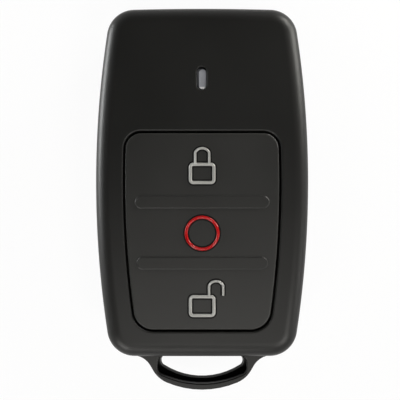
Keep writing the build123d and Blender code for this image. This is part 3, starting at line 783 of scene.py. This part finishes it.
switch_finishes = {
    "base": moulded("switch_plastic", (0.025, 0.025, 0.027), (0.06, 0.06, 0.06), 0.45, 2600.0, 0.01),
    "terminals": metal("terminal_metal", (0.80, 0.79, 0.74), (0.55, 0.54, 0.50), 0.35),
    "cover": metal("cover_steel", (0.66, 0.66, 0.64), (0.44, 0.44, 0.42), 0.32, (1, 16, 1)),
}
dome_steel = metal("dome_steel", (0.72, 0.72, 0.70), (0.50, 0.50, 0.48), 0.2)
plunger_plastic = moulded("plunger_plastic", (0.045, 0.042, 0.040), (0.1, 0.1, 0.1), 0.4, 2600.0, 0.008)
screw_steel = metal("screw_steel", (0.50, 0.50, 0.48), (0.30, 0.30, 0.29), 0.34)
switches = ("lock", "panic", "unlock")


def repaint(node, material):
    """Gives a material to a node that keeps its own mesh."""
    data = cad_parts[node].data
    data.materials.clear()
    data.materials.append(material)


for node, material in fixed_finishes.items():
    repaint(node, material)
for key in switches:
    for part, material in switch_finishes.items():
        repaint(key + "_switch_" + part, material)


def front_cover():
    """Front shell with its rounded edge, openings, half of the loop, bosses, pegs and lamp collar."""
    mesh = bmesh.new()
    seat = parting_height + lip_height + lip_gap
    brow = case_height - front_edge_drop
    profile = [(wall, inner_top), (wall, seat), (lip_inset - lip_gap, seat),
               (lip_inset - lip_gap, parting_height), (parting_chamfer, parting_height),
               (0, parting_height + parting_chamfer), (0, brow - support)]
    for turn in quarter_turn(round(pi / arc_step)):
        profile.append((front_edge_width * (1 - cos(turn)), brow + front_edge_drop * sin(turn)))
    profile.append((front_edge_width + support, case_height))
    shell = rings(mesh, case_outline(), profile)
    opening = rings(mesh, pad_outline(), round_top(
        [(-pad_gap, inner_top)], -pad_gap, case_height, pad_edge_radius, -1))
    window = rings(mesh, slot_shape(window_centre, lamp_window_width, lamp_window_length), round_top(
        [(0, inner_top)], 0, case_height, lamp_lip_radius, -1))
    cap(mesh, shell, opening, window)
    front_loop(mesh)
    joined = inner_top + joint_overlap
    for place in screw_places:
        tube(mesh, circle_outline(place, boss_radius), boss_radius - screw_radius + pin_gap / 2,
             parting_height, joined)
    for place in post_places[:2]:
        tube(mesh, circle_outline(place, peg_radius), peg_radius - pin_radius - pin_gap, board_top, joined)
    reach = 2 * (flange_reach + collar_gap + collar_wall)
    collar = slot_shape((0, lamp_y), lamp_window_width + reach, lamp_window_length + reach)
    tube(mesh, collar, collar_wall, inner_top - collar_height, joined)
    return piece("front_cover", mesh, case_plastic)


def front_loop(mesh):
    """Front half of the key-ring loop, between its foot and its outer rim. Its slot widens
    towards the parting line, as its mould core is drawn out that way."""
    low, high = parting_height, loop_front
    outer = round_top([(parting_chamfer, low), (0, low + parting_chamfer)], 0, high, loop_edge_radius)
    slot = bow_outline(slot_width / 2, loop_bottom_y + slot_land, slot_arc_radius,
                       bottom_y - loop_foot_height, slot_corner_radius, slot_corner_radius)
    inner = round_top([(-slot_draft, low)], 0, high, slot_edge_radius, -1)
    cap(mesh, rings(mesh, loop_outline(), outer), rings(mesh, slot, inner))


def rear_loop(mesh):
    """Rear half of the key-ring loop, whose smaller hole shows as a ledge in the slot."""
    low, high, edge = loop_rear, parting_height, loop_edge_radius
    outer = section((3 * edge, low), (0, low, edge), (0, high - parting_chamfer), (parting_chamfer, high))
    hole = bow_outline(ring_hole_width / 2, loop_bottom_y + ring_hole_land, ring_hole_arc_radius,
                       bottom_y - loop_foot_height - ring_hole_top_step,
                       ring_hole_corner_radius, ring_hole_top_radius)
    edge = ring_hole_edge_radius
    inner = section((-3 * edge, low), (0, low, edge), (-ring_hole_draft, high))
    cap(mesh, rings(mesh, loop_outline(), outer[1:]), rings(mesh, hole, inner[1:]))


def rear_cover():
    """Rear tray with its lip, its half of the loop, screw wells, board posts and hooks."""
    mesh = bmesh.new()
    profile = section(
        (2 * rear_edge_radius, 0), (0, 0, rear_edge_radius), (0, parting_height - parting_chamfer),
        (parting_chamfer, parting_height), (lip_inset, parting_height),
        (lip_inset, parting_height + lip_height), (wall, parting_height + lip_height), (wall, wall))
    shell = rings(mesh, case_outline(), profile[1:])
    well_radius = screw_head_radius + screw_clearance
    well_depth = screw_recess + screw_head_height
    hole_inset = well_radius - screw_radius - screw_clearance
    boss_inset = well_radius - boss_radius
    well = [(-well_chamfer, 0), (0, well_chamfer), (0, well_depth), (hole_inset, well_depth),
            (hole_inset, parting_height), (boss_inset, parting_height), (boss_inset, wall)]
    cap(mesh, shell, *(rings(mesh, circle_outline(place, well_radius), well) for place in screw_places))
    rear_loop(mesh)
    joined = wall - joint_overlap
    for place in post_places:
        stud(mesh, place, post_radius, joined, board_bottom)
    for place in post_places[:2]:
        stud(mesh, place, pin_radius, board_bottom - joint_overlap, pin_top)
    for x in (-hook_spacing / 2, hook_spacing / 2):
        left, right = x - hook_width / 2, x + hook_width / 2
        block(mesh, (left, hook_y, joined), (right, hook_y + hook_thickness, hook_top))
        block(mesh, (left, hook_y - hook_nose, hook_top - hook_nose_height),
              (right, hook_y + joint_overlap, hook_top - pin_gap))
    return piece("rear_cover", mesh, case_plastic)


def cut_across(mesh, y, way=1, clear=False):
    """Cuts all faces of a mesh at y, and clears what lies beyond, the way being 1 or -1."""
    whole = mesh.verts[:] + mesh.edges[:] + mesh.faces[:]
    return bmesh.ops.bisect_plane(mesh, geom=whole, plane_co=(0, y, 0), plane_no=(0, way, 0),
                                  clear_outer=clear, dist=tolerance)["geom_cut"]


def pad_zone(name, low_y, high_y, cuts, nub_y):
    """One press area of the rubber pad, cut from the whole pad between two lines, with extra rows of points
    beside a bar."""
    mesh = bmesh.new()
    solid(mesh, pad_outline(), round_top([(0, pad_bottom)], 0, pad_top, pad_edge_radius))
    for y, way in ((low_y, -1), (high_y, 1)):
        if y is not None:
            rim = [e for e in cut_across(mesh, y, way, clear=True) if isinstance(e, bmesh.types.BMEdge)]
            bmesh.ops.triangle_fill(mesh, edges=rim, use_beauty=True)
    for y in cuts:
        cut_across(mesh, y)
    if nub_y is not None:
        stud(mesh, (0, nub_y), nub_radius, nub_bottom, pad_bottom + joint_overlap)
    return piece(name, mesh, pad_rubber)


def keypad_bars():
    """Fixed part of the pad: two raised bars on their feet, the skirt round it and its ledge."""
    mesh = bmesh.new()
    for y, length in ((upper_bar_y, upper_bar_length), (lower_bar_y, lower_bar_length)):
        foot = [(-3 * bar_foot_radius, pad_top - bar_root_depth), (-bar_foot_radius, pad_top + bar_foot_rise),
                (0, pad_top + bar_foot_radius)]
        solid(mesh, slot_shape((0, y), length, bar_width),
              round_top(foot, 0, pad_top + bar_rise, bar_edge_radius))
    outside = -(pad_gap + skirt_width)
    ledge_low = ledge_top - ledge_height
    hoop(mesh, pad_outline(), [
        (outside, board_top), (outside, inner_top), (-pad_gap, inner_top), (-pad_gap, ledge_top),
        (ledge_width, ledge_top), (ledge_width, ledge_low), (-pad_gap, ledge_low), (-pad_gap, board_top)])
    for y in (upper_bar_y, lower_bar_y):
        span = side_x(y, pad_side_inset) + pad_gap / 2
        block(mesh, (-span, y - beam_half, ledge_low), (span, y + beam_half, pad_bottom - bar_foot_radius))
        for side in (-1, 1):
            stud(mesh, (side * foot_spacing / 2, y), foot_radius, board_top, ledge_low + joint_overlap)
    return piece("keypad_bars", mesh, bar_rubber)


def lamp_rod():
    """Clear rod with a flange under the case and a softly domed face in the window."""
    mesh = bmesh.new()
    width, length = lamp_window_width - 2 * lamp_gap, lamp_window_length - 2 * lamp_gap
    face = case_height - lamp_drop
    flange_low = inner_top - flange_height
    reach = flange_reach + lamp_gap
    profile = [(post_edge, lens_low.z), (0, lens_low.z + post_edge), (0, flange_low), (-reach, flange_low),
               (-reach, inner_top), (0, inner_top)]
    profile += round_top([(0, inner_top)], 0, face, lens_edge_radius)[1:]
    solid(mesh, slot_shape(lens_centre, width, length), profile)
    return piece("lamp_rod", mesh, lamp_lens, crease=50)


class ShapeNodes(NodeTree):
    """Geometry nodes: a shape and its sizes go in, a painted mesh comes out."""

    def __init__(self, name, shape, *sizes):
        super().__init__(bpy.data.node_groups.new(name, "GeometryNodeTree"))
        face = self.tree.interface
        face.new_socket(shape, in_out="INPUT", socket_type="NodeSocketGeometry")
        for label in sizes:
            face.new_socket(label, in_out="INPUT", socket_type="NodeSocketFloat")
        face.new_socket("Mesh", in_out="OUTPUT", socket_type="NodeSocketGeometry")
        start = self.tree.nodes.new("NodeGroupInput")
        self.inputs = [Wire(self, start.outputs[label]) for label in (shape, *sizes)]

    def painted(self, shape, material):
        """Adds the last nodes, which make instances real and set the material."""
        real = self.node("GeometryNodeRealizeInstances", {"Geometry": shape})
        paint = self.node("GeometryNodeSetMaterial", {"Geometry": real, "Material": material})
        end = self.tree.nodes.new("NodeGroupOutput")
        self.plug(end.inputs["Mesh"], paint)
        return self.tree


def line_tree(material):
    """Geometry nodes that draw a raised rounded line along a path."""
    nodes = ShapeNodes("raised_line", "Path", "Line Width", "Line Height")
    path, width, height = nodes.inputs
    circle = nodes.node("GeometryNodeCurvePrimitiveCircle", {"Resolution": 20, "Radius": 1.0})
    size = nodes.node("ShaderNodeCombineXYZ", {"X": width, "Y": height, "Z": 1.0})
    round_line = nodes.node("GeometryNodeTransform", {"Geometry": circle, "Scale": size})
    upright = nodes.node("GeometryNodeSetCurveNormal", {"Curve": path}, mode="Z_UP")
    swept = nodes.node("GeometryNodeCurveToMesh", {
        "Curve": upright, "Profile Curve": round_line, "Fill Caps": True})
    return nodes.painted(swept, material)


def screw_tree(prototype):
    """Geometry nodes that set one screw on each point."""
    nodes = ShapeNodes("set_screws", "Places", "Screw Scale")
    places, scale = nodes.inputs
    screw = nodes.node("GeometryNodeObjectInfo", {"Object": prototype}, "Geometry")
    copies = nodes.node("GeometryNodeInstanceOnPoints", {"Points": places, "Instance": screw, "Scale": scale})
    return nodes.painted(copies, screw_steel)


def grown(tree, data, sizes):
    """Mesh that geometry nodes make of a curve or of points, with their sizes set by name."""
    holder = add_object(tree.name, data)
    modifier = holder.modifiers.new(tree.name, "NODES")
    modifier.node_group = tree
    for item in tree.interface.items_tree:
        if item.name in sizes:
            modifier[item.identifier] = sizes[item.name]
    shown = holder.evaluated_get(bpy.context.evaluated_depsgraph_get())
    made = bpy.data.meshes.new_from_object(shown)
    bpy.data.objects.remove(holder)
    return made


def raised_line(name, paths, material, rise=symbol_rise, half_height=symbol_half_height):
    """Sweeps each path (points, whether it closes, line width) and makes one piece of them."""
    tree = line_tree(material)
    mesh = bmesh.new()
    for points, closed, width in paths:
        curve = bpy.data.curves.new(name + "_path", "CURVE")
        curve.dimensions = "3D"
        spline = curve.splines.new("POLY")
        spline.points.add(len(points) - 1)
        for target, (x, y) in zip(spline.points, points):
            target.co = (x, y, pad_top + rise - half_height, 1)
        spline.use_cyclic_u = closed
        swept = grown(tree, curve, {"Line Width": width / 2, "Line Height": half_height})
        mesh.from_mesh(swept)
        bpy.data.meshes.remove(swept)
    bmesh.ops.remove_doubles(mesh, verts=mesh.verts, dist=tolerance)
    return piece(name, mesh, material, crease=60)


def padlock_paths(centre_at, height, shackle_rise, shift, free_end):
    """Middle lines of a padlock's body and of its shackle, whose right leg ends clear of the body
    by free_end, or reaches it where that is None."""
    half = padlock_line / 2
    body = rectangle_outline((0, centre_at), padlock_width - padlock_line, height - padlock_line,
                             padlock_corner_radius - half)
    body_top = centre_at + height / 2
    leg, bow_radius = (shackle_width - shackle_line) / 2, shackle_arch_radius - shackle_line / 2
    peak = body_top + shackle_rise - shackle_line / 2
    turn_radius = shackle_corner_radius - shackle_line / 2
    bow = Round((0, peak - bow_radius), bow_radius)
    side = Straight((leg, 0), (-1, 0))
    turn = corner_centre(side, bow, turn_radius, (leg - turn_radius, peak - 2 * turn_radius))
    bend = Round(turn, turn_radius)
    tangent = turn - side.normal * turn_radius
    touch = turn - bow.inward(turn) * turn_radius
    crown = bend.stretch(tangent, touch) + bow.stretch(touch, Vector((0, peak))) + [Vector((0, peak))]
    crown += [Vector((-p.x, p.y)) for p in reversed(crown[:-1])]
    foot = body_top - half
    right_foot = foot if free_end is None else body_top + free_end
    shackle = [Vector((leg, right_foot))] + crown + [Vector((-leg, foot))]
    shackle = [p + Vector((shift, 0)) for p in shackle]
    return [([p for p, _ in body], True, padlock_line), (shackle, False, shackle_line)]


def cross_radius(turn):
    """Reach of a screw's cross recess at an angle."""
    c, s = max(abs(cos(turn)), tolerance), max(abs(sin(turn)), tolerance)
    return max(min(cross_reach / c, cross_half_width / s), min(cross_reach / s, cross_half_width / c))


def screw_mesh():
    """One self-tapping screw on the Z axis: domed head with a cross recess, threaded shank."""
    mesh = bmesh.new()
    turns = whole_turn(screw_sides)
    head_high = screw_recess + screw_head_height
    tip, thread_low = head_high + screw_length, head_high + screw_plain
    core = screw_radius - thread_depth
    cross = [cross_radius(t) for t in turns]
    levels = [([r * cross_floor for r in cross], screw_recess + cross_depth)]
    levels.append((cross, screw_recess + cross_edge))
    levels += [([screw_head_radius * share] * screw_sides, screw_recess + z) for share, z in screw_head]
    levels.append(([core] * screw_sides, head_high + shank_step))
    steps = int((tip - thread_low) / thread_pitch * thread_rows)
    for k in range(steps):
        z = thread_low + (tip - thread_low) * k / steps
        taper = min(1.0, (tip - z) / screw_point)
        phases = [((z - thread_low) / thread_pitch - t / tau) % 1 for t in turns]
        ridges = [max(0.0, 1 - thread_narrowness * abs(phase - 0.5)) for phase in phases]
        levels.append(([taper * (core + thread_depth * ridge) for ridge in ridges], z))
    loops = []
    for radii, z in levels:
        loops.append([mesh.verts.new((cos(t) * r, sin(t) * r, z)) for t, r in zip(turns, radii)])
    for low, high in zip(loops, loops[1:]):
        strip(mesh, low, high)
    mesh.faces.new(loops[0])
    point = mesh.verts.new((0, 0, tip))
    for i in range(screw_sides):
        mesh.faces.new((loops[-1][i], loops[-1][(i + 1) % screw_sides], point))
    return mesh


def cover_screws():
    """The two case screws, each a copy of one screw."""
    prototype = piece("screw_prototype", screw_mesh(), screw_steel)
    places = bpy.data.meshes.new("screw_places")
    places.from_pydata([(x * MILLIMETRE, y * MILLIMETRE, 0) for x, y in screw_places], [], [])
    data = grown(screw_tree(prototype), places, {"Screw Scale": 1.0})
    bpy.data.objects.remove(prototype)
    data.shade_smooth()
    data.set_sharp_from_angle(angle=radians(40))
    return add_object("cover_screws", data)


def dome_quarter(name, low, high, turn):
    """Quarter of a switch's snap dome, cut along its diagonals."""
    mesh = bmesh.new()
    x, y = (low.x + high.x) / 2, (low.y + high.y) / 2
    rise = high.z - low.z
    ball = chord_radius((high.x - low.x) / 2, rise)
    turns = [turn + pi / 2 * (j / dome_steps - 0.5) for j in range(dome_steps + 1)]
    edges = []
    for shell in (ball, ball - dome_sheet):
        reach = sqrt(shell**2 - (ball - rise) ** 2)
        rows = []
        for i in range(dome_rows + 1):
            ring = reach * i / dome_rows
            height = high.z - ball + sqrt(shell**2 - ring**2)
            points = on_circle(Vector((x, y)), ring, turns)
            rows.append([mesh.verts.new((*p, height)) for p in points])
        for inner, outer in zip(rows, rows[1:]):
            for j in range(dome_steps):
                mesh.faces.new((inner[j], outer[j], outer[j + 1], inner[j + 1]))
        edges.append([row[0] for row in reversed(rows)] + [row[-1] for row in rows[1:]] + rows[-1][-2:0:-1])
    strip(mesh, *edges)
    bmesh.ops.remove_doubles(mesh, verts=mesh.verts, dist=tolerance)
    return piece(name, mesh, dome_steel)


def switch_plunger(name, low, high):
    """Plunger of a switch: stem, flange, and a small tip below that meets only the dome's middle."""
    mesh = bmesh.new()
    radius = (high.x - low.x) / 2
    tip, stem = radius - plunger_tip_radius, radius - plunger_stem_radius
    seat = low.z + plunger_tip_height
    top = seat + plunger_flange
    edge, crown = plunger_edge, plunger_crown
    solid(mesh, circle_outline(((low.x + high.x) / 2, (low.y + high.y) / 2), radius), [
        (tip, low.z), (tip - plunger_tip_height, seat), (edge, seat), (0, seat + edge),
        (0, top - edge), (edge, top), (stem, top), (stem, high.z - crown),
        (stem + 0.3 * crown, high.z - 0.3 * crown), (stem + crown, high.z)])
    return piece(name, mesh, plunger_plastic)


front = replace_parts(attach(front_cover(), "fob"), "front_shell")
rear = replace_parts(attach(rear_cover(), "fob"), "rear_shell")
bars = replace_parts(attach(keypad_bars(), "fob"), "keypad_web")
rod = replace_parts(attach(lamp_rod(), "fob"), "light_pipe")
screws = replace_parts(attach(cover_screws(), "fob"), "case_screws")

# Press areas: name, lines they are cut at, bar beside which they get extra rows of points and on which side,
# nub, key
zones = (
    ("lock_pad", upper_bar_y, None, upper_bar_y, 1, (pad_top_y + upper_bar_y + beam_half) / 2, "lock"),
    ("panic_pad_upper", middle_y, upper_bar_y, upper_bar_y, -1, middle_y + nub_radius, "panic"),
    ("panic_pad_lower", lower_bar_y, middle_y, lower_bar_y, 1, None, "panic"),
    ("unlock_pad", None, lower_bar_y, lower_bar_y, -1, (pad_bottom_y + lower_bar_y - beam_half) / 2,
     "unlock"),
)
for name, low, high, bar_y, side, nub_y, key in zones:
    fixed, loose = bar_y + side * beam_half, bar_y + side * (beam_half + bend_length)
    bend_rows_y = [fixed + side * bend_length * i / bend_rows for i in range(bend_rows + 1)]
    zone = pad_zone(name, low, high, bend_rows_y, nub_y)
    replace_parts(zone, key + "_key")
    key + "_button"
    loose * MILLIMETRE
    fixed * MILLIMETRE
    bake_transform(zone)

# Signs on the three press areas, each with a thin black raised band round it, which is painted shade standing
# in for the shade at the sign's foot
circle = [p for p, _ in circle_outline((0, upper_bar_y - ring_from_bar), (ring_diameter - ring_line) / 2, 96)]
signs = (
    ("lock", "lock_symbol", "symbol_grey", symbol_grey,
     padlock_paths(pad_top_y - lock_from_pad_top, padlock_height, shackle_height, 0, None)),
    ("panic", "panic_ring", "ring_red", ring_red, [(circle, True, ring_line)]),
    ("unlock", "unlock_symbol", "symbol_grey", symbol_grey,
     padlock_paths(lower_bar_y - unlock_from_bar, open_padlock_height, open_shackle_height,
                   open_shackle_shift, -open_shackle_gap)),
)
for key, node, slot, material, paths in signs:
    mark = raised_line(key + "_mark", paths, material)
    wider = [(points, closed, width + 2 * shade_band_width) for points, closed, width in paths]
    shade_band = raised_line(key + "_border", wider, border_black, shade_band_rise, shade_band_half_height)
    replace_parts(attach(mark, key + "_button"), node)
    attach(shade_band, key + "_button")


# Switch domes, each cut into four quarters, and the plungers
for key in switches:
    node = key + "_switch_dome"
    low, high = [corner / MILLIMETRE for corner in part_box(node)]
    middle = (low + high) / 2
    for i, side in enumerate(("right", "upper", "left", "lower")):
        turn = pi / 2 * i
        quarter = dome_quarter(node + "_" + side, low, high, turn)
        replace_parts(quarter, node)
        rim = middle + Vector((cos(turn), sin(turn), 0)) * (high.x - low.x) / 2 * dome_give
        key + "_plunger"
        tuple(middle * MILLIMETRE)
        tuple(rim * MILLIMETRE)
        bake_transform(quarter)
    node = key + "_switch_plunger"
    low, high = [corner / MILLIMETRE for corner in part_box(node)]
    made = switch_plunger(key + "_plunger_stem", low, high)
    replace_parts(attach(made, key + "_plunger"), node)


# Camera: square to the front face, a little off its middle, as the photograph was taken
camera_place = Vector((-0.378, 0.285, 118.0))
camera_data = bpy.data.cameras.new("camera")
camera_data.lens = 54.126
camera_data.sensor_width = 36.0
camera_data.clip_start = 0.01
camera = add_object("camera", camera_data)
camera.location = camera_place * MILLIMETRE
scene.camera = camera

# How white the paper looks to the camera, how much of that glossy faces show, and where lamps aim
paper_glow = 0.94
paper_in_gloss = 0.5
paper_colour = (0.92, 0.92, 0.92)
room_colour = (0.035, 0.035, 0.035)
lamp_aim_height = 10.0


def backdrop_finish():
    """Pale studio paper: seen as near white, while the object's shadow still falls on it."""
    finish = Finish("studio_paper")
    rays = [finish.node("ShaderNodeLightPath", {}, kind)
            for kind in ("Is Camera Ray", "Is Glossy Ray", "Is Transmission Ray")]
    seen = rays[0] + rays[1] * paper_in_gloss + rays[2]
    paper = finish.node("ShaderNodeBsdfDiffuse", {"Color": paper_colour})
    glow = finish.node("ShaderNodeEmission", {"Strength": 1.0})
    blend = finish.node("ShaderNodeMixShader", {"Fac": seen.clamped() * paper_glow, 1: paper, 2: glow})
    finish.plug(finish.tree.nodes["Material Output"].inputs["Surface"], blend)
    finish.tree.nodes.remove(finish.shader)
    return finish.material


def studio_floor():
    """Round floor that curves up into a wall, all in one sheet."""
    mesh = bmesh.new()
    floor_radius, wall_radius, wall_height = 900.0, 300.0, 700.0
    middle_radius, gap = 20.0, 0.02
    outline = circle_outline((0, 0), floor_radius + wall_radius, 96)
    profile = [(floor_radius + wall_radius - middle_radius, -gap)]
    for turn in quarter_turn(12):
        profile.append((wall_radius * (1 - sin(turn)), wall_radius * (1 - cos(turn)) - gap))
    profile.append((0, wall_height))
    loops = rings(mesh, outline, profile)
    mesh.faces.new(loops[0])
    made = piece("studio_floor", mesh, backdrop_finish())
    made.data.flip_normals()
    return made


studio_floor()


def round_lamp(name, turn, height, reach, size, power, colour=(1.0, 1.0, 1.0)):
    """Round lamp turned to the fob. It stands at an angle from +X, a height over the floor and a
    distance from the middle, all lengths in millimetres."""
    data = bpy.data.lights.new(name, "AREA")
    data.shape = "DISK"
    data.size = size * MILLIMETRE
    data.energy = power
    data.color = colour
    lamp = add_object(name, data)
    angle = radians(turn)
    lamp.location = Vector((cos(angle) * reach, sin(angle) * reach, height)) * MILLIMETRE
    aim = Vector((0, 0, lamp_aim_height * MILLIMETRE))
    lamp.rotation_euler = (aim - lamp.location).to_track_quat("-Z", "Y").to_euler()


warm = (1.0, 0.98, 0.94)
warmer = (1.0, 0.98, 0.92)
cool = (0.98, 1.0, 1.0)
round_lamp("high_light", -97, 470, 171, 170, 0.314, warm)
round_lamp("high_right_light", 0, 470, 171, 170, 0.010)
round_lamp("lower_right_light", -45, 383, 321, 170, 0.758, warm)
round_lamp("lower_left_strip", -120, 100, 160, 60, 0.083, warm)
round_lamp("lower_strip", -90, 100, 160, 60, 0.029, warm)
round_lamp("right_fill", -15, 60, 160, 60, 0.024, warm)
round_lamp("upper_right_rim", 28, 45, 160, 60, 0.110, warmer)
round_lamp("upper_corner_light", 52, 60, 160, 40, 0.105, warmer)
round_lamp("upper_left_rim", 150, 8, 160, 60, 0.141, cool)
round_lamp("left_rim", 165, 8, 160, 60, 0.168, cool)
round_lamp("left_fill", 180, 30, 160, 60, 0.031)

world = bpy.data.worlds.new("studio")
world.use_nodes = True
world.node_tree.nodes["Background"].inputs["Color"].default_value = (*room_colour, 1)
scene.world = world

scene.view_settings.view_transform = "Standard"
